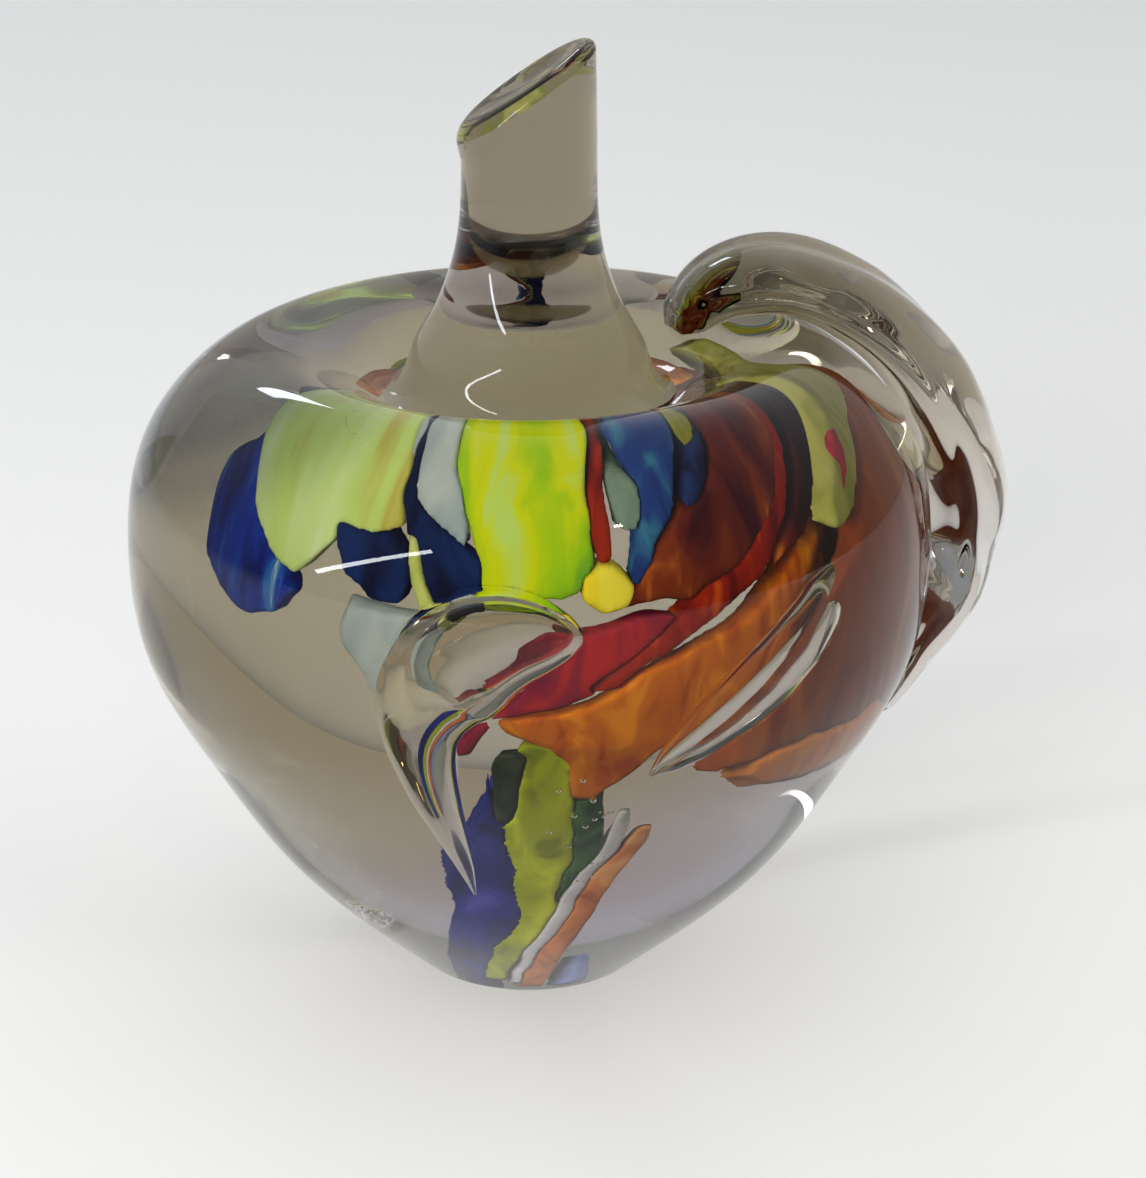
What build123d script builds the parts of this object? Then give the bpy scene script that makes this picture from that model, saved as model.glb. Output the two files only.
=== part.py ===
from build123d import *
from math import acos, atan2, cos, hypot, pi, radians, sin
import os

# Solid glass apple: a clear core rolled over chips of coloured glass, a thick clear casing
# gathered over them, and a stem and a crimped leaf pressed on while hot.
# Azimuth 0 faces -Y and grows towards +X. The axis is Z and the apple rests on Z = 0.

# Body, in millimetres
body_radius = 50.0        # widest part of the apple
widest_height = 57.0      # height of the widest part
base_radius = 15.5        # ground flat that the apple rests on
crest_radius = 33.0       # top of the shoulder round the dimple
crest_height = 81.5
seat_radius = 17.5        # round seat of the stem in the bottom of the dimple
seat_height = 75.2        # rim of that seat
seat_depth = 1.6          # how far the stem's foot is let into the casing

# Core and colour
core_radius = 28.5        # round upper part of the core
core_centre_height = 56.0
core_height = 72.0
core_neck_radius = 6.0    # core glass that shows in the ground base
chip_thickness = 2.6      # coloured glass pressed flush into the core
outer_layer_radius = 33.5 # second picking-up of colour, round the same centre

# Air trapped between core and casing
teardrop_radius = 7.4
teardrop_neck = 12.0      # from the middle of its head to where its tail begins
teardrop_length = 25.0    # from the middle of its head to the tip of its tail
tail_radius = 1.9
spindle_radius = 3.3
spindle_length = 29.0
spindle_cover = 2.4       # how far the spindle's axis lies outside the core

# Stem
shaft_radius = 8.3
flare_height = 22.0       # from the seat's rim to the straight shaft
shaft_length = 23.2       # from the flare to where the slanting shear meets the stem's far side
tip_radius = 8.0
shear_angle = 34.0        # slope of the sheared tip, in degrees
tip_round = 2.2

# Leaf
leaf_half_width = 13.5
leaf_half_thickness = 5.6
leaf_rib = 0.9            # height of the ribs along the leaf
leaf_crimp = 0.8          # height of the crimps across the leaf

os.makedirs("parts", exist_ok=True)


def polar(radius, azimuth):
    """The X and Y of a point at an azimuth in degrees."""
    return (radius * sin(radians(azimuth)), -radius * cos(radians(azimuth)))


def between(table, place):
    """The value at a place in a table of (place, value) pairs, straight between them."""
    if place <= table[0][0]:
        return table[0][1]
    for (start, low), (end, high) in zip(table, table[1:]):
        if place <= end:
            return low + (high - low) * (place - start) / (end - start)
    return table[-1][1]


def export(part, name):
    """Label a finished piece and write it under its name."""
    part.label = name
    export_step(part, f"parts/{name}.step")


# Outline of the body: flank, shoulder and dimple
flank_shares = [(0.25, 0.135), (0.51, 0.305), (0.77, 0.55), (0.953, 0.775)]
shoulder_shares = [(0.90, 0.46), (0.51, 0.83)]
dimple_share = (0.45, 0.61)

base_rim = (base_radius, 0)
widest = (body_radius, widest_height)
crest = (crest_radius, crest_height)
seat_rim = (seat_radius, seat_height)
flank = [
    (base_radius + (body_radius - base_radius) * out, widest_height * up)
    for out, up in flank_shares
]
shoulder = [
    (crest_radius + (body_radius - crest_radius) * out,
     widest_height + (crest_height - widest_height) * up)
    for out, up in shoulder_shares
]
dimple = (
    seat_radius + (crest_radius - seat_radius) * dimple_share[0],
    seat_height + (crest_height - seat_height) * dimple_share[1],
)
seat_floor = seat_height - seat_depth

with BuildPart() as body:
    with BuildSketch(Plane.XZ):
        with BuildLine():
            Line((0, 0), base_rim)
            Spline(base_rim, *flank, widest, tangents=[(1, 0.8), (0, 1)])
            Spline(widest, *shoulder, crest, tangents=[(0, 1), (-1, 0)])
            Spline(crest, dimple, seat_rim, tangents=[(-1, 0), (-1, -0.1)])
            Line(seat_rim, (seat_radius, seat_floor))
            Line((seat_radius, seat_floor), (0, seat_floor))
            Line((0, seat_floor), (0, 0))
        make_face()
    revolve(axis=Axis.Z)

# Outline of the core: straight flanks up to the round part, as (height share, radius share)
core_flank_shares = [(0.125, 0.26), (0.26, 0.39), (0.43, 0.60)]
round_start_share = 0.61
round_end_share = 0.96
crown_share = 0.56


def round_radius(layer_radius, height_share):
    """The radius, at a share of the core's height, of a layer round the core's centre."""
    return (layer_radius ** 2 - (core_height * height_share - core_centre_height) ** 2) ** 0.5


def core_surface(height_share):
    """The core's radius at a share of its height."""
    if height_share > round_start_share:
        return round_radius(core_radius, min(height_share, round_end_share))
    flank_table = [(0, core_neck_radius)]
    flank_table += [(up, core_radius * out) for up, out in core_flank_shares]
    flank_table += [(round_start_share, round_radius(core_radius, round_start_share))]
    return between(flank_table, height_share)


def outer_surface(height_share):
    """The second layer's radius at a share of the core's height."""
    return round_radius(outer_layer_radius, height_share)


def core_solid(inset):
    """The core, with its skin taken off to a depth."""
    flank_heights = [0] + [up for up, out in core_flank_shares]
    radius = core_radius - inset
    start = (round_radius(radius, round_start_share), core_height * round_start_share)
    end_height = core_height * round_end_share - inset
    end = (round_radius(radius, end_height / core_height), end_height)
    turns = [atan2(height - core_centre_height, out) for out, height in (start, end)]
    halfway = sum(turns) / 2
    middle = (radius * cos(halfway), core_centre_height + radius * sin(halfway))
    crown_rim = (core_radius * crown_share, core_height - inset)
    skin = core_surface(round_start_share) - start[0]
    flank_points = [(core_surface(up) - skin, core_height * up) for up in flank_heights]
    with BuildPart() as solid:
        with BuildSketch(Plane.XZ):
            with BuildLine():
                Polyline((0, 0), *flank_points, start)
                ThreePointArc(start, middle, end)
                Polyline(end, crown_rim, (0, core_height - inset), (0, 0))
            make_face()
        revolve(axis=Axis.Z)
    return solid.part


gather = core_solid(0)

with BuildPart() as first_layer:
    add(gather)
    add(core_solid(chip_thickness), mode=Mode.SUBTRACT)

with BuildPart() as second_layer:
    with Locations((0, 0, core_centre_height)):
        Sphere(outer_layer_radius)
        Sphere(outer_layer_radius - chip_thickness, mode=Mode.SUBTRACT)


# Trapped air: a round-headed drop with a long tail, and a spindle that leans
teardrop_place_share = 0.725
teardrop_azimuth = -9.0
tail_azimuth = -25.0
tail_place_share = 0.40
spindle_place_share = 0.69
spindle_azimuth = 51.0
spindle_lean = 40.0
air_room_shares = {
    "teardrop": [(tail_place_share, teardrop_azimuth, 20), (0.84, teardrop_azimuth, 20)],
    "spindle": [(0.55, spindle_azimuth, 30), (0.84, spindle_azimuth, 30)],
}

head_across = polar(core_surface(teardrop_place_share), teardrop_azimuth)
tail_across = polar(core_surface(tail_place_share), tail_azimuth)
head = Vector(*head_across, core_height * teardrop_place_share)
tail = Vector(*tail_across, core_height * tail_place_share)
drop_plane = Plane(origin=head, z_dir=(tail - head).cross(Vector(0, 0, 1)), x_dir=tail - head)
neck = (teardrop_neck, tail_radius)
touch_turn = atan2(tail_radius, teardrop_neck) + acos(teardrop_radius / hypot(*neck))
touch = (teardrop_radius * cos(touch_turn), teardrop_radius * sin(touch_turn))

with BuildPart() as teardrop:
    with BuildSketch(drop_plane):
        with BuildLine():
            ThreePointArc((-teardrop_radius, 0), (0, teardrop_radius), touch)
            Polyline(touch, neck, (teardrop_length, 0), (-teardrop_radius, 0))
        make_face()
    revolve(axis=Axis(drop_plane.origin, drop_plane.x_dir))

spindle_distance = core_surface(spindle_place_share) + spindle_cover
spindle_plane = Plane(
    origin=(*polar(spindle_distance, spindle_azimuth), core_height * spindle_place_share),
    x_dir=(*polar(1, spindle_azimuth + 90), 0),
    z_dir=(*polar(1, spindle_azimuth), 0),
).rotated((0, 0, spindle_lean))

with BuildPart() as spindle:
    with BuildSketch(spindle_plane):
        with BuildLine():
            Spline((-spindle_length / 2, 0), (0, spindle_radius), (spindle_length / 2, 0))
            Line((spindle_length / 2, 0), (-spindle_length / 2, 0))
        make_face()
    revolve(axis=Axis(spindle_plane.origin, spindle_plane.x_dir))

air = {"teardrop": teardrop.part, "spindle": spindle.part}

# Chips of coloured glass, each as rows of (height share of the core, azimuth, half angle) from
# its foot to its top. A chip that lies over others comes before them, and they are cut by it.
chip_shares = {
    "yellow_chip": [
        (0.80, 17, 2.5), (0.82, 15.5, 5), (0.84, 14.5, 4), (0.85, 15.5, 1.5),
    ],
    "red_band": [
        (0.70, 15, 2), (0.73, 22, 3), (0.755, 29.5, 4.5), (0.785, 37.5, 5.5),
        (0.81, 45, 6), (0.84, 55, 6.5), (0.87, 63.5, 5), (0.895, 68, 4),
        (0.93, 71, 3), (0.96, 70, 2),
    ],
    "orange_band": [
        (0.535, 14, 2), (0.56, 16, 4.5), (0.59, 18.5, 7.5), (0.62, 17, 14.5),
        (0.645, 19, 17.5), (0.675, 27.5, 15), (0.70, 33, 15), (0.73, 39, 15),
        (0.755, 45, 14), (0.785, 51, 12), (0.81, 58, 8),
    ],
    "crimson_tongue": [
        (0.595, -5, 3), (0.62, -4.5, 5), (0.645, -3, 6.5), (0.675, 1.5, 9.5),
        (0.70, 6.5, 9.5), (0.73, 11, 8), (0.755, 15, 8), (0.785, 19, 8),
    ],
    "olive_chip": [
        (0.935, 42, 2.5), (0.95, 42.5, 5), (0.965, 43.5, 7), (0.98, 45, 6),
    ],
    "navy_wedge": [
        (0.895, 38, 1.2), (0.915, 41, 3), (0.935, 44.5, 2.5),
    ],
    "maroon_swirl": [
        (0.80, 36, 15), (0.83, 50, 25), (0.86, 56, 26), (0.895, 61, 24),
        (0.93, 64, 22), (0.96, 66, 18),
    ],
    "cobalt_hook": [
        (0.82, 20, 1.2), (0.84, 23, 1.8), (0.87, 26, 2.5), (0.895, 28.5, 4),
        (0.925, 30, 5), (0.945, 30, 9), (0.96, 30, 15),
    ],
    "garnet_streak": [
        (0.84, 14.8, 1), (0.875, 15.5, 2), (0.915, 16.2, 1.7), (0.95, 17.5, 0.9),
    ],
    "teal_veil": [
        (0.89, 21.5, 1.5), (0.915, 22.5, 3), (0.935, 21.5, 3),
    ],
    "lime_sliver": [
        (0.765, -19.5, 1.1), (0.79, -19.5, 1.8), (0.82, -21.5, 1.7),
        (0.85, -23.8, 1.4), (0.875, -25, 0.9),
    ],
    "navy_shard_right": [
        (0.80, -17, 1.5), (0.82, -15.5, 5.5), (0.84, -16.5, 7), (0.86, -17.5, 7.5),
        (0.88, -22, 4.5), (0.915, -26.5, 1.8), (0.95, -27.3, 1.1),
    ],
    "lime_column": [
        (0.82, 0, 6), (0.835, 1.5, 11), (0.87, 1, 12), (0.90, 0, 14),
        (0.94, -1, 15), (0.96, 0, 16),
    ],
    "milk_blue_patch": [
        (0.865, -15, 1.5), (0.88, -17.5, 4), (0.91, -20, 5.5), (0.945, -23, 6.5),
        (0.96, -25, 7.5),
    ],
    "navy_shard_left": [
        (0.81, -30, 3), (0.83, -32, 7), (0.855, -34, 8.5), (0.87, -37, 6),
    ],
    "pale_green_patch": [
        (0.805, -58, 4), (0.825, -60, 11), (0.855, -58, 16), (0.88, -52, 24),
        (0.915, -54, 26), (0.94, -52.5, 25), (0.96, -51, 23),
    ],
    "cobalt_blob": [
        (0.73, -72, 5), (0.75, -74, 15), (0.785, -74, 19), (0.82, -77, 13),
        (0.86, -76, 6), (0.89, -75, 3),
    ],
    "pale_blue_veil": [
        (0.59, -26, 1.5), (0.625, -27.5, 3), (0.66, -29, 4), (0.70, -31, 5),
        (0.735, -32, 7), (0.77, -31.5, 8), (0.80, -29.5, 8),
    ],
    "white_streak": [
        (0.055, -8, 4), (0.125, -4, 4), (0.195, 3, 4), (0.25, 10, 4),
        (0.305, 16, 3.8), (0.36, 20.5, 3.2), (0.415, 23.8, 3), (0.47, 26, 3.2),
        (0.52, 27, 1.5),
    ],
    "smoke_wedge": [
        (0.50, -8, 2), (0.54, -7, 3.5), (0.58, -4.5, 4.5), (0.592, -3, 3.5),
    ],
    "cobalt_lobe": [
        (0.03, -60, 20), (0.07, -55, 18), (0.14, -45, 15), (0.21, -33, 15),
        (0.28, -23.5, 16), (0.345, -20, 13), (0.45, -17.5, 8.5), (0.52, -14.5, 5.5),
        (0.555, -12.5, 5.5), (0.60, -12.5, 3.5),
    ],
    "lime_lobe": [
        (0.07, -27, 10), (0.14, -21, 10), (0.21, -10, 10.5), (0.28, 0, 9.5),
        (0.345, 1, 10), (0.45, 0.5, 10.5), (0.52, 1, 10.5), (0.555, 2.5, 9),
        (0.59, 4, 8), (0.61, 5, 6),
    ],
    "dark_green_lobe": [
        (0.25, 6, 2.5), (0.28, 9.5, 3), (0.32, 12, 4.5), (0.375, 13.5, 5), (0.415, 14.5, 6.3),
        (0.45, 15, 6.5), (0.52, 15, 6), (0.57, 15, 4.5),
    ],
    "rust_streak": [
        (0.04, 6, 9), (0.11, 9, 9), (0.165, 13, 8), (0.22, 17, 7), (0.28, 23, 6.5),
        (0.335, 27.5, 6), (0.39, 31, 5), (0.445, 33.5, 4), (0.485, 34.5, 2),
    ],
    "blue_foot": [
        (0.04, 45, 12), (0.11, 42, 10), (0.18, 38, 3),
    ],
    "amber_chip": [
        (0.94, 118, 10), (0.96, 120, 16), (0.98, 122, 12),
    ],
    "rust_chip": [
        (0.945, -100, 8), (0.965, -104, 13), (0.98, -106, 9),
    ],
    "olive_shoulder_patch": [
        (0.86, -137, 4), (0.89, -138, 9), (0.93, -140, 11), (0.96, -140, 7),
    ],
}

outer_chip_shares = {
    "ruby_fleck": [
        (0.85, 72, 2.5), (0.875, 75, 3.5), (0.91, 79, 2.5), (0.945, 84, 1.2),
    ],
    "orange_hem": [
        (0.525, 76, 17), (0.55, 79, 25), (0.575, 84, 30),
    ],
    "red_brown_flap": [
        (0.57, 85, 31), (0.625, 89, 35), (0.695, 93, 34), (0.765, 98, 30),
        (0.83, 104, 23), (0.89, 108, 14),
    ],
    "pale_green_band": [
        (0.84, 80, 3), (0.87, 86, 8), (0.90, 97, 13), (0.94, 105, 17),
        (0.97, 108, 20), (1.0, 106, 23), (1.02, 103, 20),
    ],
}


stamp_spread = 45.0  # degrees that a straight-sided stamp may reach past its outline
stamp_depth = 1.5 * chip_thickness


def span(rows):
    """The lowest and highest height share and azimuth that some rows reach."""
    return (
        min(row[0] for row in rows), max(row[0] for row in rows),
        min(row[1] - row[2] for row in rows), max(row[1] + row[2] for row in rows),
    )


def meet(rows, others):
    """Whether the stamps of two sets of rows may overlap."""
    low, high, left, right = span(rows)
    other_low, other_high, other_left, other_right = span(others)
    side_by_side = left < other_right + stamp_spread and other_left < right + stamp_spread
    return low < other_high and other_low < high and side_by_side


def stamp(rows, surface):
    """A straight-sided solid, from under a surface outwards, with the outline that rows have on it."""
    left, right = span(rows)[2:]
    facing = (left + right) / 2
    outline = [(height_share, azimuth + half_angle) for height_share, azimuth, half_angle in rows]
    outline += [(height_share, azimuth - half_angle) for height_share, azimuth, half_angle in reversed(rows)]
    corners = [
        (surface(height_share) * sin(radians(azimuth - facing)), core_height * height_share)
        for height_share, azimuth in outline
    ]
    depths = [surface(height_share) * cos(radians(azimuth - facing)) for height_share, azimuth in outline]
    start = polar(min(depths) - stamp_depth, facing)
    face = Plane(origin=(*start, 0), x_dir=(*polar(1, facing + 90), 0), z_dir=(*polar(1, facing), 0))
    with BuildPart() as solid:
        with BuildSketch(face):
            with BuildLine():
                Polyline(*corners, close=True)
            make_face()
        extrude(amount=body_radius)
    return solid.part


def press(table, surface, shell):
    """Cut every chip of a table out of a layer, the earlier ones first."""
    stamps = {}
    pressed = {}
    for name, rows in table.items():
        stamps[name] = stamp(rows, surface)
        cutters = [stamps[other] for other in pressed if meet(rows, table[other])]
        cutters += [air[bubble] for bubble in air if meet(rows, air_room_shares[bubble])]
        with BuildPart() as chip:
            add(stamps[name])
            add(shell, mode=Mode.INTERSECT)
            if cutters:
                add(cutters, mode=Mode.SUBTRACT)
        pressed[name] = chip.part.solids().sort_by(SortBy.VOLUME)[-1]
    return pressed


chips = press(chip_shares, core_surface, first_layer.part)
outer_chips = press(outer_chip_shares, outer_surface, second_layer.part)
for name, chip in {**chips, **outer_chips}.items():
    export(chip, name)

with BuildPart() as clear_core:
    add(gather)
    add(list(air.values()) + list(chips.values()), mode=Mode.SUBTRACT)
export(clear_core.part, "clear_core")

with BuildPart() as clear_casing:
    add(body.part)
    add([gather] + list(air.values()) + list(outer_chips.values()), mode=Mode.SUBTRACT)
export(clear_casing.part, "clear_casing")

# Stem: a flared foot let into the seat, a round shaft and a slanting sheared tip
flare_shares = [(0.88, 0.06), (0.69, 0.24), (0.435, 0.43), (0.185, 0.66), (0.065, 0.85)]
flare_top = (shaft_radius, seat_height + flare_height)
stem_reach = seat_height + flare_height + shaft_length
flare = [
    (shaft_radius + (seat_radius - shaft_radius) * out, seat_height + flare_height * up)
    for out, up in flare_shares
]

with BuildPart() as stem:
    with BuildSketch(Plane.XZ):
        with BuildLine():
            Line((0, seat_floor), (seat_radius, seat_floor))
            Line((seat_radius, seat_floor), seat_rim)
            Spline(seat_rim, *flare, flare_top, tangents=[(-1, 0.1), (-0.02, 1)])
            Line(flare_top, (tip_radius, stem_reach))
            Line((tip_radius, stem_reach), (0, stem_reach))
            Line((0, stem_reach), (0, seat_floor))
        make_face()
    revolve(axis=Axis.Z)
    shear_normal = (-sin(radians(shear_angle)), 0, cos(radians(shear_angle)))
    shear = Plane(origin=(tip_radius, 0, stem_reach), z_dir=shear_normal)
    split(bisect_by=shear, keep=Keep.BOTTOM)
    fillet(stem.faces().sort_by(Axis.Z)[-1].edges(), tip_round)
export(stem.part, "stem")

# Leaf: from the stem's foot over the crest and down the flank. Its way is given as
# (out from the axis, share of the body's radius; to the back, share; height, share of the crest's).
leaf_way_shares = [
    (0.37, 0.30, 0.957), (0.46, 0.33, 1.018), (0.60, 0.33, 1.045), (0.76, 0.29, 1.03),
    (0.91, 0.25, 0.97), (1.03, 0.21, 0.88), (1.095, 0.17, 0.773), (1.09, 0.15, 0.663),
    (1.03, 0.13, 0.552), (0.945, 0.11, 0.454), (0.86, 0.09, 0.362),
]
leaf_width_shares = [
    (0, 0.5), (0.12, 0.75), (0.3, 1), (0.6, 1), (0.8, 0.75), (0.92, 0.5), (1, 0.2),
]
leaf_depth_shares = [
    (0, 0.55), (0.12, 0.62), (0.3, 0.72), (0.5, 1), (0.68, 1), (0.82, 0.75), (0.93, 0.5), (1, 0.2),
]
leaf_sections = 19
rim_points = 12
rib_count = 3
crimp_count = 5

leaf_way = Spline(*[
    (body_radius * out, body_radius * back, crest_height * up) for out, back, up in leaf_way_shares
])

with BuildPart() as leaf:
    for index in range(leaf_sections):
        along = index / (leaf_sections - 1)
        centre = leaf_way @ along
        heading = leaf_way % along
        width = leaf_half_width * between(leaf_width_shares, along)
        depth = leaf_half_thickness * between(leaf_depth_shares, along)
        crimp = leaf_crimp * between(leaf_width_shares, along) * sin(2 * pi * crimp_count * along)
        rib = leaf_rib * between(leaf_width_shares, along)
        across = Vector(0, 1, 0)
        with BuildSketch(Plane(origin=centre, x_dir=across, z_dir=heading)):
            with BuildLine():
                Spline(*[
                    (width * cos(turn), (depth + crimp + rib * cos(2 * rib_count * turn)) * sin(turn))
                    for turn in [2 * pi * step / rim_points for step in range(rim_points)]
                ], periodic=True)
            make_face()
    loft()
    add([body.part, stem.part], mode=Mode.SUBTRACT)
export(leaf.part, "leaf")
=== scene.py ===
"""Looks of the art glass apple: clear glass over a core of coloured chips, a stem and a crimped leaf."""

from math import atan2, cos, degrees, hypot, pi, radians, sin, tan

import bmesh
import bpy
import numpy as np
from mathutils import Matrix, Vector, noise


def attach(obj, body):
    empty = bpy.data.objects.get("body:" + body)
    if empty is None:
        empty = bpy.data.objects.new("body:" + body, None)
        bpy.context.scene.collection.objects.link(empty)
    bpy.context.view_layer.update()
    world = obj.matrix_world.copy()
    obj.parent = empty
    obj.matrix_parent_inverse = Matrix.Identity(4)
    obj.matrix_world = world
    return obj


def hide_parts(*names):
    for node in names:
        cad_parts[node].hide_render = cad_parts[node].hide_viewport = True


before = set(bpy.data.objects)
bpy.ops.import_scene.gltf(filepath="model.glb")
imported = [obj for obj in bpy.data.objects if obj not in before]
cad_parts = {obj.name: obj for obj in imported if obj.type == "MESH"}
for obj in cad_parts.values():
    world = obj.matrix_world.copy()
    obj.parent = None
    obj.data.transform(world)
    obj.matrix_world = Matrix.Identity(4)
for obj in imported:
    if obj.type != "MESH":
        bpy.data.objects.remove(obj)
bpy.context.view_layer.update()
mm = 0.001

# Body and stem in profile, as (radius, height): flat, flank, shoulder, dimple, flare and shaft
profile = [
    (15.5, 0), (23.9, 7.7), (33.1, 17.4), (42.0, 31.4), (48.4, 44.2), (50.0, 57.0), (48.3, 68.3),
    (41.7, 77.3), (33.0, 81.4), (25.0, 79.2), (20.6, 76.4), (17.8, 75.2), (16.0, 76.7), (14.6, 80.5),
    (12.3, 84.7), (10.0, 89.8), (8.9, 94.0), (8.35, 99.0), (8.2, 106.0), (8.0, 112.0),
]
profile_steps = 230
turns = 224
base_bevel = 0.7 * mm
weld_depth = 1.6 * mm
waviness = 0.35 * mm
wave_size = 26 * mm

# Sheared tip of the stem
shear_slope = tan(radians(34))
tip_height = 114.0 * mm       # on the axis
tip_radius = 8.0 * mm
tip_round = 2.3 * mm
tip_dish = 0.9 * mm
tip_skin = 2.2 * mm           # depth of the streaks of colour that the shears left
lip_bulge = 1.3 * mm
lip_reach = 4.5 * mm

# Core
core_radius = 28.5 * mm
core_centre_height = 56 * mm

# Leaf: its way from the stem's foot over the crest and down the flank, in millimetres
leaf_way = [
    (18.5, 15.0, 78.0), (23.0, 16.5, 83.0), (30.0, 16.5, 85.2), (38.0, 14.5, 83.9), (45.5, 12.5, 79.1),
    (51.3, 10.5, 71.7), (54.4, 8.5, 63.0), (54.2, 7.5, 54.0), (51.3, 6.5, 45.0), (47.2, 5.5, 37.0),
    (43.0, 4.5, 29.5),
]
# (share of the way, half width, half thickness), in millimetres
leaf_sizes = [
    (0.00, 2.5, 1.5), (0.02, 5.5, 2.9), (0.06, 8.2, 3.7), (0.15, 10.8, 3.9), (0.30, 13.3, 4.3),
    (0.45, 13.5, 5.1), (0.60, 13.2, 5.6), (0.75, 11.2, 5.0), (0.88, 8.0, 3.8), (0.96, 5.0, 2.5),
    (1.00, 1.2, 0.8),
]
leaf_rings = 240
leaf_around = 132
rib_height = 1.35 * mm
rib_count = 2
crimp_height = 1.5 * mm
crimps = 4
crimp_drift = 0.06            # how unevenly the crimps are spaced
groove_softness = 0.28        # 0 makes the grooves between the lobes sharp


def polar(radius, azimuth, height):
    """A point round the axis; azimuth 0 faces -Y and grows towards +X."""
    return Vector((radius * sin(radians(azimuth)), -radius * cos(radians(azimuth)), height))


def smooth_curve(points, count):
    """Evenly spaced points on a smooth curve through the given ones."""
    points = np.array(points, float)
    knots = np.concatenate([[0], np.cumsum(np.linalg.norm(np.diff(points, axis=0), axis=1))])
    gaps = np.diff(knots)
    system = np.eye(len(knots))
    turn = np.zeros_like(points)
    for k in range(1, len(knots) - 1):
        system[k, k - 1:k + 2] = gaps[k - 1], 2 * (gaps[k - 1] + gaps[k]), gaps[k]
        turn[k] = 6 * ((points[k + 1] - points[k]) / gaps[k] - (points[k] - points[k - 1]) / gaps[k - 1])
    bend = np.linalg.solve(system, turn)
    places = np.linspace(0, knots[-1], count)
    span = np.clip(np.searchsorted(knots, places, side="right") - 1, 0, len(gaps) - 1)
    gap = gaps[span][:, None]
    ahead = (knots[span + 1] - places)[:, None]
    behind = (places - knots[span])[:, None]
    bends = (bend[span] * ahead ** 3 + bend[span + 1] * behind ** 3) / (6 * gap)
    start = (points[span] / gap - bend[span] * gap / 6) * ahead
    end = (points[span + 1] / gap - bend[span + 1] * gap / 6) * behind
    return bends + start + end


def table_curve(table, places):
    """Values at places along a table of (place, value, ...) rows, eased between the rows."""
    table = np.array(table, float)
    curve = smooth_curve(table[:, 1:], 400)
    knots = np.concatenate([[0], np.cumsum(np.linalg.norm(np.diff(table[:, 1:], axis=0), axis=1))])
    where = np.interp(places, table[:, 0], knots / knots[-1])
    steps = np.linspace(0, 1, 400)
    return np.stack([np.interp(where, steps, column) for column in curve.T], axis=1)


def skin(name, rings, slots=(), ends=(0, 0)):
    """A closed object through rings of points, with a fan over each end in these slots."""
    rings = np.array(rings)
    count, around = rings.shape[:2]
    points = rings.reshape(-1, 3).tolist() + [rings[0].mean(0).tolist(), rings[-1].mean(0).tolist()]
    faces = []
    for ring in range(count - 1):
        for step in range(around):
            here, there = ring * around, (ring + 1) * around
            after = (step + 1) % around
            faces.append((here + step, here + after, there + after, there + step))
    sides = len(faces)
    last = (count - 1) * around
    faces += [(count * around, (step + 1) % around, step) for step in range(around)]
    faces += [(count * around + 1, last + step, last + (step + 1) % around) for step in range(around)]
    mesh = bpy.data.meshes.new(name)
    mesh.from_pydata(points, [], faces)
    for slot in slots:
        mesh.materials.append(slot)
    for place, face in enumerate(mesh.polygons):
        if place >= sides:
            face.material_index = ends[0] if place < sides + around else ends[1]
    tidy_normals(mesh)
    made = bpy.data.objects.new(name, mesh)
    bpy.context.collection.objects.link(made)
    return made


def tidy_normals(mesh, flip=False):
    """Point all faces out of the solid, or into it for a hollow."""
    work = bmesh.new()
    work.from_mesh(mesh)
    bmesh.ops.recalc_face_normals(work, faces=work.faces)
    if flip:
        bmesh.ops.reverse_faces(work, faces=work.faces)
    work.to_mesh(mesh)
    work.free()


def fresh_mesh(made):
    """The mesh of an object with its modifiers done, which are then taken off."""
    bpy.context.view_layer.update()
    shown = made.evaluated_get(bpy.context.evaluated_depsgraph_get())
    mesh = bpy.data.meshes.new_from_object(shown)
    made.modifiers.clear()
    return mesh


def combined(made, tool, operation):
    """The mesh of one object cut by, or kept inside, another."""
    cut = made.modifiers.new("cut", "BOOLEAN")
    cut.operation = operation
    cut.solver = "EXACT"
    cut.object = tool
    return fresh_mesh(made)


def in_slot(made, index):
    """A copy of an object with all its faces in one slot."""
    other = made.copy()
    other.data = made.data.copy()
    bpy.context.collection.objects.link(other)
    for face in other.data.polygons:
        face.material_index = index
    return other


def finished(name, meshes, crease=42):
    """One object of several meshes, smooth but for creases and the edges between slots."""
    work = bmesh.new()
    for mesh in meshes:
        work.from_mesh(mesh)
    bmesh.ops.dissolve_degenerate(work, dist=1e-7, edges=work.edges)
    for edge in work.edges:
        near = edge.link_faces
        same = len(near) == 2 and near[0].material_index == near[1].material_index
        edge.smooth = same and edge.calc_face_angle(0) < radians(crease)
    for face in work.faces:
        face.smooth = True
    mesh = bpy.data.meshes.new(name)
    for slot in meshes[0].materials:
        mesh.materials.append(slot)
    work.to_mesh(mesh)
    work.free()
    made = bpy.data.objects.new(name, mesh)
    bpy.context.collection.objects.link(made)
    return made


# Materials
mirror_share = 0.4            # how much of its head-on reflection the glass shows


def material(name):
    """An empty material and its node tree."""
    made = bpy.data.materials.new(name)
    made.use_nodes = True
    made.node_tree.nodes.clear()
    return made, made.node_tree


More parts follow.
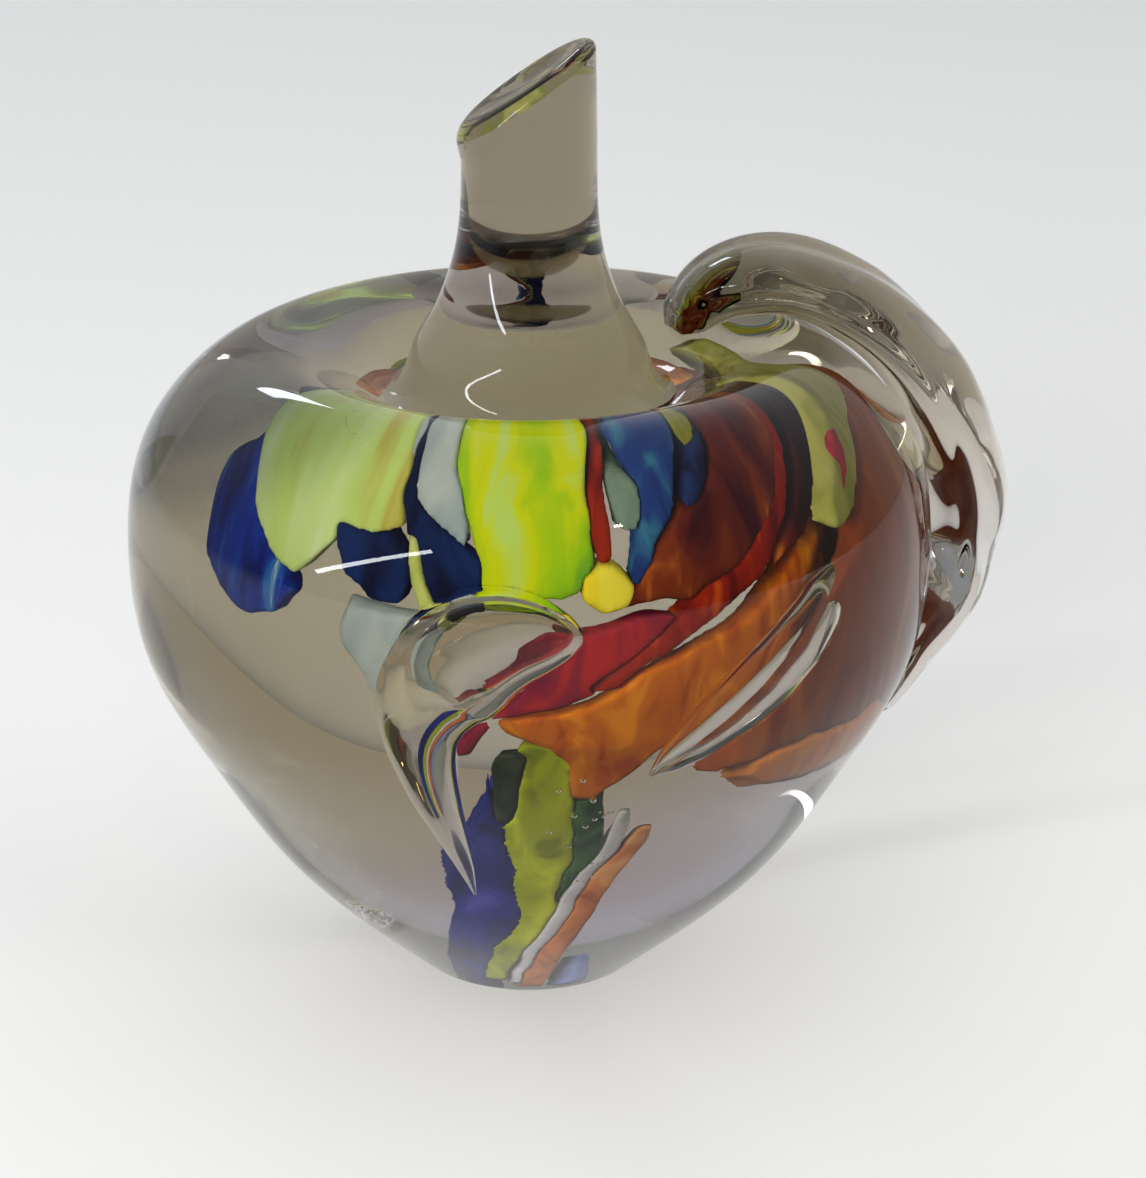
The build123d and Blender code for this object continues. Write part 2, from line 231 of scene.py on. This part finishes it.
def lit_through(tree, shader, shade):
    """Let light straight through a shader's surface, dimmed by a colour, and finish the material."""
    path = tree.nodes.new("ShaderNodeLightPath")
    clear = tree.nodes.new("ShaderNodeBsdfTransparent")
    clear.inputs["Color"].default_value = (*shade, 1)
    mix = tree.nodes.new("ShaderNodeMixShader")
    out = tree.nodes.new("ShaderNodeOutputMaterial")
    tree.links.new(path.outputs["Is Shadow Ray"], mix.inputs["Fac"])
    tree.links.new(shader.outputs[0], mix.inputs[1])
    tree.links.new(clear.outputs[0], mix.inputs[2])
    tree.links.new(mix.outputs[0], out.inputs["Surface"])


def ramp(tree, source, stops):
    """A colour ramp over a value, as (place, colour) stops."""
    made = tree.nodes.new("ShaderNodeValToRGB")
    band = made.color_ramp
    band.interpolation = "EASE"
    while len(band.elements) < len(stops):
        band.elements.new(0.5)
    for element, (place, colour) in zip(band.elements, stops):
        element.position = place
        element.color = (*colour, 1)
    tree.links.new(source, made.inputs["Fac"])
    return made.outputs["Color"]


def clear_glass(name, tints, lowest=0, highest=1, index=1.5, shade=(0.97, 0.97, 0.96), grain=None):
    """Clear glass whose faint colour changes along a leaning way up, the casing's darkest tints being painted shade,
    or, with a grain, in streaks.
    """
    made, tree = material(name)
    shader = tree.nodes.new("ShaderNodeBsdfPrincipled")
    shader.inputs["Roughness"].default_value = 0
    shader.inputs["IOR"].default_value = index
    shader.inputs["Transmission Weight"].default_value = 1
    shader.inputs["Specular Tint"].default_value = (mirror_share, mirror_share, mirror_share, 1)
    if len(tints) == 1:
        shader.inputs["Base Color"].default_value = (*tints[0][1], 1)
    elif grain:
        where = tree.nodes.new("ShaderNodeTexCoord")
        streak = tree.nodes.new("ShaderNodeTexNoise")
        streak.inputs["Scale"].default_value = 1 / grain
        streak.inputs["Detail"].default_value = 2
        tree.links.new(where.outputs["Object"], streak.inputs["Vector"])
        tree.links.new(ramp(tree, streak.outputs["Fac"], tints), shader.inputs["Base Color"])
    else:
        place = tree.nodes.new("ShaderNodeTexCoord")
        along = tree.nodes.new("ShaderNodeVectorMath")
        along.operation = "DOT_PRODUCT"
        along.inputs[1].default_value = tint_and_shade_way
        reach = tree.nodes.new("ShaderNodeMapRange")
        reach.inputs["From Min"].default_value = lowest
        reach.inputs["From Max"].default_value = highest
        tree.links.new(place.outputs["Object"], along.inputs[0])
        tree.links.new(along.outputs["Value"], reach.inputs["Value"])
        tree.links.new(ramp(tree, reach.outputs[0], tints), shader.inputs["Base Color"])
    lit_through(tree, shader, shade)
    return made


def fused_seam():
    """Where two gathers of glass have fused: nothing is seen there."""
    made, tree = material("fused_seam")
    clear = tree.nodes.new("ShaderNodeBsdfTransparent")
    out = tree.nodes.new("ShaderNodeOutputMaterial")
    tree.links.new(clear.outputs[0], out.inputs["Surface"])
    return made


def coloured_glass(name, stops, opacity, grain, lean, warp=1.2, veil=None):
    """Coloured glass streaked along a leaning direction; opacity runs from 0 to 1."""
    made, tree = material(name)
    where = tree.nodes.new("ShaderNodeTexCoord")
    place = tree.nodes.new("ShaderNodeMapping")
    place.inputs["Rotation"].default_value = (0, radians(lean), 0)
    place.inputs["Scale"].default_value = (1 / grain, 1 / grain, 0.33 / grain)
    streak = tree.nodes.new("ShaderNodeTexNoise")
    streak.inputs["Scale"].default_value = 1
    streak.inputs["Detail"].default_value = 3
    streak.inputs["Roughness"].default_value = 0.45
    streak.inputs["Distortion"].default_value = warp
    tree.links.new(where.outputs["Object"], place.inputs["Vector"])
    tree.links.new(place.outputs["Vector"], streak.inputs["Vector"])
    colour = ramp(tree, streak.outputs["Fac"], stops)
    body = tree.nodes.new("ShaderNodeBsdfPrincipled")
    body.inputs["Roughness"].default_value = 1
    body.inputs["Specular IOR Level"].default_value = 0
    tree.links.new(colour, body.inputs["Base Color"])
    through = tree.nodes.new("ShaderNodeBsdfTranslucent")
    tree.links.new(colour, through.inputs["Color"])
    milk = tree.nodes.new("ShaderNodeMixShader")
    milk.inputs["Fac"].default_value = 0.2
    tree.links.new(body.outputs[0], milk.inputs[1])
    tree.links.new(through.outputs[0], milk.inputs[2])
    clear = tree.nodes.new("ShaderNodeBsdfTransparent")
    clear.inputs["Color"].default_value = (*(veil or stops[-1][1]), 1)
    mix = tree.nodes.new("ShaderNodeMixShader")
    mix.inputs["Fac"].default_value = opacity
    tree.links.new(clear.outputs[0], mix.inputs[1])
    tree.links.new(milk.outputs[0], mix.inputs[2])
    out = tree.nodes.new("ShaderNodeOutputMaterial")
    tree.links.new(mix.outputs[0], out.inputs["Surface"])
    return made


# Way along which the clear glass's colours change, leaning up and to the left; towards its upper end the casing's tints
# darken as painted shade
tint_and_shade_way = (-0.45, 0, 0.89)
# Casing tints by share of that way: lavender at the lower end, taupe in the middle, and near black at the upper-left
# crest, which is painted shade
casing_tints_and_painted_shade = [
    (0.0, (0.47, 0.43, 0.54)), (0.25, (0.43, 0.39, 0.42)), (0.50, (0.40, 0.36, 0.25)),
    (0.70, (0.40, 0.34, 0.22)), (0.90, (0.36, 0.31, 0.21)), (0.97, (0.13, 0.12, 0.10)), (1.0, (0.05, 0.05, 0.045)),
]
casing_glass = clear_glass("casing_glass", casing_tints_and_painted_shade, -7 * mm, 85 * mm)
stem_glass = clear_glass("stem_glass", [(0, (0.17, 0.145, 0.08)), (1, (0.31, 0.26, 0.185))], 68 * mm, 86 * mm)
tip_tints = [
    (0.30, (0.28, 0.07, 0.02)), (0.42, (0.16, 0.15, 0.07)), (0.52, (0.14, 0.17, 0.02)), (0.62, (0.46, 0.48, 0.05)),
    (0.70, (0.22, 0.22, 0.17)),
]
tip_glass = clear_glass("tip_glass", tip_tints, grain=6 * mm)
leaf_tints = [(0.1, (0.98, 0.98, 1.0)), (0.5, (0.62, 0.56, 0.48)), (1.0, (0.20, 0.165, 0.095))]
leaf_glass = clear_glass("leaf_glass", leaf_tints, 8 * mm, 62 * mm)
core_glass = clear_glass("core_glass", [(0, (0.99, 0.985, 0.98))], index=1.0, shade=(1, 1, 1))
air_skin = clear_glass("air_skin", [(0, (1, 1, 1))], shade=(1, 1, 1))
seam = fused_seam()


# Outer surface
def outer_rings():
    """Rings of the body and the stem, and the ring where one meets the other."""
    curve = smooth_curve(profile, profile_steps) * mm
    meeting = int(np.argmin(np.where(curve[:, 0] < 24 * mm, curve[:, 1], 1)[profile_steps // 3:]))
    meeting += profile_steps // 3
    shaft_foot = 99 * mm
    rows = [(max(curve[0][0] - base_bevel, 0), 0, 0)]
    for radius, height in curve:
        lean = min(max((height - shaft_foot) / (tip_height - tip_round - shaft_foot), 0), 1)
        rows.append((radius, height + (base_bevel / 2 if height == 0 else 0), shear_slope * lean ** 2))
    for step in range(1, 9):
        turn = pi / 2 * step / 8
        rows.append((tip_radius - tip_round * (1 - cos(turn)), tip_height - tip_round * (1 - sin(turn)), shear_slope))
    for share in (0.85, 0.68, 0.5, 0.32, 0.15):
        inner = (tip_radius - tip_round) * share
        rows.append((inner, tip_height - tip_dish * (1 - share ** 2), shear_slope))
    rings = []
    for radius, height, slope in rows:
        ring = []
        for step in range(turns):
            turn = 2 * pi * step / turns
            across = cos(turn)
            bulge = 0
            if slope > 0:
                low = height + slope * across * radius
                near_tip = 1 - min(abs(low - (tip_height + shear_slope * across * radius)) / lip_reach, 1)
                bulge = lip_bulge * max(-across, 0) ** 2 * near_tip
            wide = radius + (bulge if radius > tip_radius / 2 else 0)
            point = Vector((wide * across, wide * sin(turn), height + slope * wide * across))
            dent = waviness * (0.5 + 0.5 * noise.noise(point / wave_size))
            if radius > 0:
                shrink = 1 - dent / max(radius, 20 * mm)
                point.x *= shrink
                point.y *= shrink
            ring.append(point)
        rings.append(ring)
    return rings, meeting + 1


def lobes(turn):
    """Broad swellings with a narrow groove at each half turn, about zero on average."""
    return hypot(sin(turn), groove_softness) - hypot(2 / pi, groove_softness)


def leaf_skin():
    """The leaf, ribbed along its length above and crimped across below."""
    shares = np.linspace(0, 1, leaf_rings).tolist()
    way = [Vector(point) for point in (smooth_curve(leaf_way, leaf_rings) * mm).tolist()]
    sizes = (table_curve(leaf_sizes, shares) * mm).tolist()
    rings = []
    for place, (centre, (wide, thick)) in enumerate(zip(way, sizes)):
        heading = (way[min(place + 1, leaf_rings - 1)] - way[max(place - 1, 0)]).normalized()
        across = Vector((0, 1, 0))
        across = (across - heading * across.dot(heading)).normalized()
        outward = heading.cross(across)
        share = shares[place]
        fade = min(1, wide / (9 * mm))
        ring = []
        sway = 0.22 * sin(2 * pi * share) + 0.10 * sin(6 * pi * share)
        crimping = crimp_height * fade * max(0, min(1, 2 * share - 0.7))
        ribbing = rib_height * fade * (1 - 0.45 * share)
        crimp_share = share + crimp_drift * sin(3 * pi * share)
        for step in range(leaf_around):
            turn = 2 * pi * step / leaf_around
            crimp = crimping * lobes(pi * crimps * (crimp_share - 0.09 * cos(turn)))
            rib = ribbing * lobes(rib_count * (turn + sway))
            swell = crimp + rib
            point = centre + across * ((wide + swell) * cos(turn)) + outward * ((thick + swell) * sin(turn))
            point += 0.35 * mm * fade * noise.noise_vector(point / (18 * mm))
            ring.append(point)
        rings.append(ring)
    return rings


# Trapped air: (azimuth, height, half width, half depth, cover outside the core), from end to end
teardrop_rows = [
    (11, 55.9, 0.2, 0.2, 0.6), (9, 56.0, 1.8, 1.4, 0.6), (4, 56.1, 3.4, 2.6, 0.7), (-3, 55.8, 4.9, 3.9, 0.8),
    (-10, 54.5, 6.2, 4.8, 0.8), (-16, 52.2, 6.4, 5.0, 0.7), (-20.5, 49.0, 5.4, 4.4, 0.6),
    (-23, 45.4, 4.2, 3.5, 0.5), (-23.5, 41.4, 3.1, 2.6, 0.4), (-22.8, 37.2, 2.2, 1.8, 0.3),
    (-22, 32.6, 1.5, 1.2, 0.3), (-21.3, 27.8, 0.9, 0.7, 0.3), (-21, 23.5, 0.15, 0.1, 0.3),
]
spindle_rows = [
    (71, 56.6, 0.2, 0.15, 2.9), (68, 55.9, 1.6, 1.2, 3.0), (63, 54.4, 3.0, 2.1, 3.1), (56, 51.9, 3.8, 2.7, 3.2),
    (48, 49.0, 4.0, 2.8, 3.2), (41, 46.3, 3.5, 2.5, 3.1), (34.5, 43.9, 2.5, 1.8, 2.9), (29.3, 41.8, 1.3, 0.9, 2.7),
    (26.5, 40.7, 0.2, 0.15, 2.6),
]
air_rings = 90
air_around = 56


def core_skin(height):
    """The core's radius at a height: round above, narrowing to a neck below."""
    heights = np.array([0, 9, 18.7, 31, 43.9, 50]) * mm
    radii = np.array([6, 7.4, 11.1, 17.1, 25.8, 27.9]) * mm
    if height > heights[-1]:
        return (core_radius ** 2 - min(abs(height - core_centre_height), core_radius * 0.99) ** 2) ** 0.5
    return float(np.interp(height, heights, radii))


def air_skin_mesh(name, rows):
    """A hollow laid along the core's surface."""
    centres = []
    for azimuth, height, wide, deep, cover in rows:
        centres.append(polar(core_skin(height * mm) + cover * mm, azimuth, height * mm))
    way = smooth_curve(centres, air_rings)
    knots = np.concatenate([[0], np.cumsum(np.linalg.norm(np.diff(np.array(centres), axis=0), axis=1))])
    shares = np.linspace(0, 1, air_rings)
    wides = np.interp(shares, knots / knots[-1], [row[2] for row in rows]) * mm
    deeps = np.interp(shares, knots / knots[-1], [row[3] for row in rows]) * mm
    soften = np.array([1, 2, 3, 2, 1]) / 9
    wides[2:-2] = np.convolve(wides, soften, "valid")
    deeps[2:-2] = np.convolve(deeps, soften, "valid")
    way = [Vector(point) for point in way.tolist()]
    rings = []
    for place, (centre, wide, deep) in enumerate(zip(way, wides.tolist(), deeps.tolist())):
        heading = (way[min(place + 1, air_rings - 1)] - way[max(place - 1, 0)]).normalized()
        outward = centre - Vector((0, 0, core_centre_height))
        outward = (outward - heading * outward.dot(heading)).normalized()
        across = heading.cross(outward)
        turns_round = [2 * pi * step / air_around for step in range(air_around)]
        rings.append([
            centre + across * (wide * cos(turn)) + outward * (deep * sin(turn)) for turn in turns_round
        ])
    return skin(name, rings, [air_skin])


seed_count = 26
seed_spread = (5.0, 24.0, 24.0, 41.0)  # azimuths from and to, in degrees; heights in millimetres


def seed_meshes():
    """Seed bubbles round the dark green chip."""
    made = []
    for place in range(seed_count):
        spread = noise.random_vector
        drift = Vector(spread()) * 0.5 + Vector((0.5, 0.5, 0.5))
        azimuth = seed_spread[0] + (seed_spread[1] - seed_spread[0]) * drift.x
        height = (seed_spread[2] + (seed_spread[3] - seed_spread[2]) * drift.y) * mm
        work = bmesh.new()
        bmesh.ops.create_icosphere(work, subdivisions=2, radius=(0.12 + 0.25 * drift.z ** 2) * mm)
        bmesh.ops.translate(work, vec=polar(core_skin(height) + 1.1 * mm, azimuth, height), verts=work.verts)
        mesh = bpy.data.meshes.new("seed")
        work.to_mesh(mesh)
        work.free()
        made.append(mesh)
    return made


def as_hollow(mesh, index):
    """Turn a closed mesh into a hollow of the glass round it."""
    tidy_normals(mesh, flip=True)
    for face in mesh.polygons:
        face.material_index = index
    return mesh


# Coloured chips: molten copies of the pressed solids
grain_size = 0.38 * mm
swirl_reach = 1.15 * mm
swirl_size = 9 * mm
ripple_reach = 0.35 * mm
ripple_size = 3.2 * mm
# Chips that ran while hot: the azimuth that stayed, and how many times wider the rest has run
runs = {
    "crimson_tongue": (20, 1.5), "orange_band": (14, 1.38), "maroon_swirl": (38, 1.18),
    "red_brown_flap": (98, 1.3), "orange_hem": (98, 1.15), "pale_green_band": (125, 1.2),
}
climb_start = 20              # degrees above the core's middle from where chips ran further up
climb = 1.9


def run_round(point, stays, spread):
    """A point moved round the axis, away from the azimuth that stays."""
    azimuth = degrees(atan2(point.x, -point.y))
    return polar(hypot(point.x, point.y), stays + (azimuth - stays) * spread, point.z)


def run_up(point):
    """A point high on the core moved further up its round."""
    out, up = hypot(point.x, point.y), point.z - core_centre_height
    rise = degrees(atan2(up, out))
    if rise < climb_start or hypot(out, up) > core_radius * 1.05:
        return point
    risen = radians(climb_start + (rise - climb_start) * climb)
    return Vector((
        point.x * hypot(out, up) * cos(risen) / out, point.y * hypot(out, up) * cos(risen) / out,
        core_centre_height + hypot(out, up) * sin(risen),
    ))


def molten(node, look, hollows):
    """A chip with its edges melted, streaked and kept out of the trapped air."""
    made = bpy.data.objects.new(f"molten_{node}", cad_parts[node].data.copy())
    bpy.context.collection.objects.link(made)
    for point in made.data.vertices:
        point.co = run_up(run_round(point.co, *runs.get(node, (0, 1))))
    remesh = made.modifiers.new("grain", "REMESH")
    remesh.mode = "VOXEL"
    remesh.voxel_size = grain_size
    melt = made.modifiers.new("melt", "SMOOTH")
    melt.factor = 0.5
    melt.iterations = 7
    made.data = fresh_mesh(made)
    for point in made.data.vertices:
        swirl = noise.noise_vector(point.co / swirl_size) * swirl_reach
        ripple = noise.noise_vector(point.co / ripple_size) * ripple_reach
        outward = (point.co - Vector((0, 0, core_centre_height))).normalized()
        drift = swirl + ripple
        point.co += drift - outward * drift.dot(outward) * 0.7
    for hollow in hollows:
        made.data = combined(made, hollow, "DIFFERENCE")
    made.data.materials.clear()
    made.data.materials.append(look)
    made.data.shade_smooth()
    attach(made, "root")
    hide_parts(node)
    return made


# Each chip's streaks, as colours by share of the noise, then opacity, grain in metres and lean in degrees
chip_looks = {
    "yellow_chip": ([(0.3, (1, 0.80, 0.02)), (0.7, (1, 0.92, 0.08))], 1, 0.004, 0),
    "red_band": ([(0.3, (0.16, 0.006, 0.006)), (0.55, (0.36, 0.018, 0.006)), (0.72, (0.7, 0.1, 0.006))], 0.97, 0.004, -40),
    "orange_band": ([(0.3, (0.46, 0.07, 0.002)), (0.5, (0.70, 0.17, 0.002)), (0.7, (0.98, 0.32, 0.003))], 1, 0.004, -40),
    "crimson_tongue": ([(0.3, (0.16, 0.005, 0.03)), (0.5, (0.30, 0.01, 0.04)), (0.7, (0.55, 0.02, 0.02))], 0.96, 0.006, -50),
    "olive_chip": ([(0.3, (0.20, 0.24, 0.02)), (0.7, (0.42, 0.40, 0.04))], 0.9, 0.004, 0),
    "navy_wedge": ([(0.3, (0.01, 0.01, 0.05)), (0.7, (0.02, 0.04, 0.18))], 1, 0.004, 0),
    "maroon_swirl": (
        [(0.32, (0.06, 0.006, 0.01)), (0.48, (0.14, 0.018, 0.01)), (0.62, (0.24, 0.04, 0.01)), (0.74, (0.70, 0.18, 0.02))],
        0.96, 0.0065, -30,
    ),
    "cobalt_hook": ([(0.3, (0.01, 0.02, 0.08)), (0.5, (0.02, 0.06, 0.30)), (0.68, (0.05, 0.24, 0.42))], 0.98, 0.005, 30),
    "garnet_streak": ([(0.3, (0.16, 0.01, 0.01)), (0.7, (0.40, 0.03, 0.01))], 0.95, 0.004, 0),
    "teal_veil": ([(0.3, (0.16, 0.30, 0.26)), (0.7, (0.35, 0.50, 0.42))], 0.75, 0.004, 0),
    "lime_sliver": ([(0.3, (0.50, 0.62, 0.10)), (0.7, (0.75, 0.85, 0.30))], 0.95, 0.004, 0),
    "navy_shard_right": ([(0.35, (0.005, 0.008, 0.04)), (0.7, (0.01, 0.03, 0.16))], 1, 0.005, 20),
    "lime_column": (
        [(0.32, (0.22, 0.55, 0.03)), (0.45, (0.38, 0.72, 0.01)), (0.60, (0.72, 0.86, 0.005)), (0.72, (0.60, 0.88, 0.2))],
        1, 0.0075, 10,
    ),
    "milk_blue_patch": ([(0.3, (0.45, 0.58, 0.66)), (0.7, (0.66, 0.76, 0.78))], 0.85, 0.005, 0),
    "navy_shard_left": ([(0.35, (0.005, 0.008, 0.04)), (0.7, (0.01, 0.03, 0.16))], 1, 0.005, -20),
    "pale_green_patch": (
        [(0.32, (0.62, 0.58, 0.12)), (0.44, (0.66, 0.90, 0.26)), (0.58, (0.74, 0.98, 0.40)), (0.72, (0.88, 1.0, 0.64))],
        1, 0.0095, 15,
    ),
    "cobalt_blob": (
        [(0.35, (0.002, 0.012, 0.16)), (0.55, (0.005, 0.035, 0.40)), (0.68, (0.03, 0.17, 0.55)), (0.76, (0.6, 0.8, 0.75))],
        1, 0.004, 0,
    ),
    "pale_blue_veil": ([(0.3, (0.50, 0.62, 0.68)), (0.7, (0.70, 0.80, 0.84))], 0.6, 0.006, 0),
    "white_streak": ([(0.3, (0.75, 0.76, 0.76)), (0.7, (0.95, 0.95, 0.93))], 0.8, 0.005, -40),
    "smoke_wedge": ([(0.3, (0.01, 0.015, 0.01)), (0.7, (0.05, 0.07, 0.03))], 0.95, 0.004, 0),
    "cobalt_lobe": ([(0.32, (0.002, 0.004, 0.08)), (0.5, (0.01, 0.02, 0.26)), (0.7, (0.07, 0.08, 0.5))], 1, 0.006, 10),
    "lime_lobe": ([(0.3, (0.22, 0.27, 0.005)), (0.5, (0.44, 0.52, 0.008)), (0.7, (0.70, 0.76, 0.02))], 1, 0.006, 10),
    "dark_green_lobe": ([(0.3, (0.01, 0.04, 0.01)), (0.7, (0.05, 0.16, 0.04))], 0.96, 0.004, -20),
    "rust_streak": ([(0.3, (0.40, 0.10, 0.03)), (0.5, (0.70, 0.22, 0.05)), (0.7, (0.85, 0.40, 0.12))], 0.95, 0.004, -40),
    "blue_foot": ([(0.3, (0.08, 0.14, 0.45)), (0.7, (0.30, 0.40, 0.75))], 0.8, 0.004, 0),
    "amber_chip": ([(0.3, (0.75, 0.22, 0.02)), (0.7, (0.95, 0.45, 0.04))], 0.97, 0.004, 0),
    "rust_chip": ([(0.3, (0.40, 0.10, 0.03)), (0.7, (0.65, 0.24, 0.06))], 0.95, 0.004, 0),
    "olive_shoulder_patch": ([(0.3, (0.24, 0.28, 0.03)), (0.7, (0.50, 0.52, 0.10))], 0.6, 0.006, 0),
    "ruby_fleck": ([(0.3, (0.20, 0.01, 0.02)), (0.7, (0.55, 0.02, 0.04))], 0.97, 0.004, 0),
    "orange_hem": ([(0.3, (0.75, 0.18, 0.01)), (0.7, (1, 0.38, 0.02))], 0.98, 0.005, -60),
    "red_brown_flap": ([(0.3, (0.20, 0.02, 0.01)), (0.5, (0.32, 0.06, 0.01)), (0.7, (0.52, 0.14, 0.02))], 0.94, 0.008, -20),
    "pale_green_band": ([(0.3, (0.30, 0.32, 0.05)), (0.5, (0.48, 0.50, 0.12)), (0.7, (0.62, 0.64, 0.26))], 0.9, 0.007, -30),
}

# Glass pieces
rings, meeting = outer_rings()
slots = [casing_glass, seam, air_skin]
whole = skin("whole", rings, slots)
casing = skin("casing", rings[:meeting + 1], slots, ends=(0, 1))
stem = skin("stem", rings[meeting:], [stem_glass, seam, tip_glass], ends=(1, 2))
for made, point in ((casing, -1), (stem, -2)):
    made.data.vertices[point].co.z -= weld_depth
for face in stem.data.polygons:
    if face.center.z - shear_slope * face.center.x > tip_height - tip_skin:
        face.material_index = 2
leaf = skin("leaf", leaf_skin(), [leaf_glass, seam])
leaf_tool = in_slot(leaf, 1)
whole_tool = in_slot(whole, 1)

hollows = [air_skin_mesh("teardrop", teardrop_rows), air_skin_mesh("spindle", spindle_rows)]
for node, (stops, opacity, grain, lean) in chip_looks.items():
    molten(node, coloured_glass(f"{node}_glass", stops, opacity, grain, lean), hollows)

hollow_meshes = [as_hollow(mesh, 2) for mesh in [hollow.data for hollow in hollows] + seed_meshes()]
pieces = [
    (finished("casing_glass", [combined(casing, leaf_tool, "DIFFERENCE")] + hollow_meshes), "clear_casing"),
    (finished("stem_glass", [combined(stem, leaf_tool, "DIFFERENCE")]), "stem"),
    (finished("leaf_glass", [combined(leaf, whole_tool, "DIFFERENCE"), combined(leaf_tool, whole_tool, "INTERSECT")]), "leaf"),
]
for made, node in pieces:
    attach(made, "root")
    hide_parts(node)
for made in [whole, casing, stem, leaf, leaf_tool, whole_tool] + hollows:
    bpy.data.objects.remove(made)

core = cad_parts["clear_core"]
core.data.materials.clear()
core.data.materials.append(core_glass)

# Floor, light and surroundings
floor_radius = 5.0
floor_colour = (0.84, 0.83, 0.81)


def floor():
    """A wide pale floor."""
    work = bmesh.new()
    bmesh.ops.create_circle(work, cap_ends=True, segments=96, radius=floor_radius)
    mesh = bpy.data.meshes.new("floor")
    work.to_mesh(mesh)
    work.free()
    made = bpy.data.objects.new("floor", mesh)
    bpy.context.collection.objects.link(made)
    look, tree = material("pale_floor")
    shader = tree.nodes.new("ShaderNodeBsdfPrincipled")
    shader.inputs["Base Color"].default_value = (*floor_colour, 1)
    shader.inputs["Roughness"].default_value = 0.6
    shader.inputs["Specular IOR Level"].default_value = 0.2
    out = tree.nodes.new("ShaderNodeOutputMaterial")
    tree.links.new(shader.outputs[0], out.inputs["Surface"])
    mesh.materials.append(look)


def softbox(
    name, azimuth, elevation, distance, width, height, radiance, colour=(1, 1, 1), roll=0, seen=(True, True),
):
    """A rectangular lamp that looks at the apple, and may be seen by reflection and through the glass."""
    target = Vector((0, 0, 50 * mm))
    away = Vector((
        sin(radians(azimuth)) * cos(radians(elevation)),
        -cos(radians(azimuth)) * cos(radians(elevation)),
        sin(radians(elevation)),
    ))
    data = bpy.data.lights.new(name, "AREA")
    data.shape = "RECTANGLE"
    data.size = width
    data.size_y = height
    data.energy = radiance * pi * width * height
    data.color = colour
    made = bpy.data.objects.new(name, data)
    bpy.context.collection.objects.link(made)
    made.visible_glossy, made.visible_transmission = seen
    made.matrix_world = (
        Matrix.Translation(target + away * distance)
        @ away.to_track_quat("Z", "Y").to_matrix().to_4x4()
        @ Matrix.Rotation(radians(roll), 4, "Z")
    )


floor()
softbox("window_strip", -47, 25, 1.0, 0.68, 0.035, 42, (0.90, 0.95, 1), roll=46)
softbox("fill", 75, 16, 2.4, 1.0, 0.7, 13, (1, 0.97, 0.93), seen=(False, False))
softbox("front", -24, 15, 2.4, 1.0, 0.64, 29, (1, 0.98, 0.95), seen=(False, False))
softbox("key", -35, 55, 1.2, 0.5, 0.5, 2.5, (1, 0.98, 0.95), seen=(False, False))
softbox("rear_window", -161, 32, 1.1, 0.20, 0.09, 10, (0.86, 0.92, 1), seen=(True, False))
softbox("warm_lamp", 34, 52, 1.0, 0.035, 0.025, 140, (1, 0.78, 0.50))

world = bpy.data.worlds.new("room")
bpy.context.scene.world = world
world.use_nodes = True
tree = world.node_tree
tree.nodes.clear()
where = tree.nodes.new("ShaderNodeTexCoord")
axes = tree.nodes.new("ShaderNodeSeparateXYZ")
height = tree.nodes.new("ShaderNodeMapRange")
height.inputs["From Min"].default_value = -1
shine = tree.nodes.new("ShaderNodeBackground")
room_out = tree.nodes.new("ShaderNodeOutputWorld")
tree.links.new(where.outputs["Generated"], axes.inputs[0])
tree.links.new(axes.outputs["Z"], height.inputs["Value"])
room = [
    (0.0, (0.36, 0.34, 0.30)), (0.5, (0.42, 0.39, 0.34)), (0.62, (0.44, 0.42, 0.40)), (0.75, (0.52, 0.54, 0.57)),
    (1.0, (0.42, 0.48, 0.54)),
]
depth = tree.nodes.new("ShaderNodeMapRange")
depth.inputs["From Min"].default_value = -1
depth.inputs["To Min"].default_value = 0.45
depth.inputs["To Max"].default_value = 1.4
tree.links.new(ramp(tree, height.outputs[0], room), shine.inputs["Color"])
tree.links.new(axes.outputs["Y"], depth.inputs["Value"])
tree.links.new(depth.outputs[0], shine.inputs["Strength"])
tree.links.new(shine.outputs[0], room_out.inputs["Surface"])

# Camera at the photo's angle
camera_target = Vector((0, 0, 45 * mm))
camera_distance = 0.4
camera_elevation = 22.2
camera_lens = 96.74
camera_shift = (0.0373, 0.0235)

camera = bpy.data.objects.new("camera", bpy.data.cameras.new("camera"))
bpy.context.collection.objects.link(camera)
camera.location = camera_target + polar(
    camera_distance * cos(radians(camera_elevation)), 0, camera_distance * sin(radians(camera_elevation)),
)
camera.rotation_euler = (radians(90 - camera_elevation), 0, 0)
camera.data.lens = camera_lens
camera.data.shift_x, camera.data.shift_y = camera_shift
camera.data.clip_start = 0.01
scene = bpy.context.scene
scene.camera = camera
scene.view_settings.view_transform = "Standard"
scene.cycles.max_bounces = 40
scene.cycles.transmission_bounces = 36
scene.cycles.glossy_bounces = 12
scene.cycles.diffuse_bounces = 3
scene.cycles.transparent_max_bounces = 48
scene.cycles.caustics_reflective = False
scene.cycles.caustics_refractive = False
scene.cycles.sample_clamp_indirect = 8
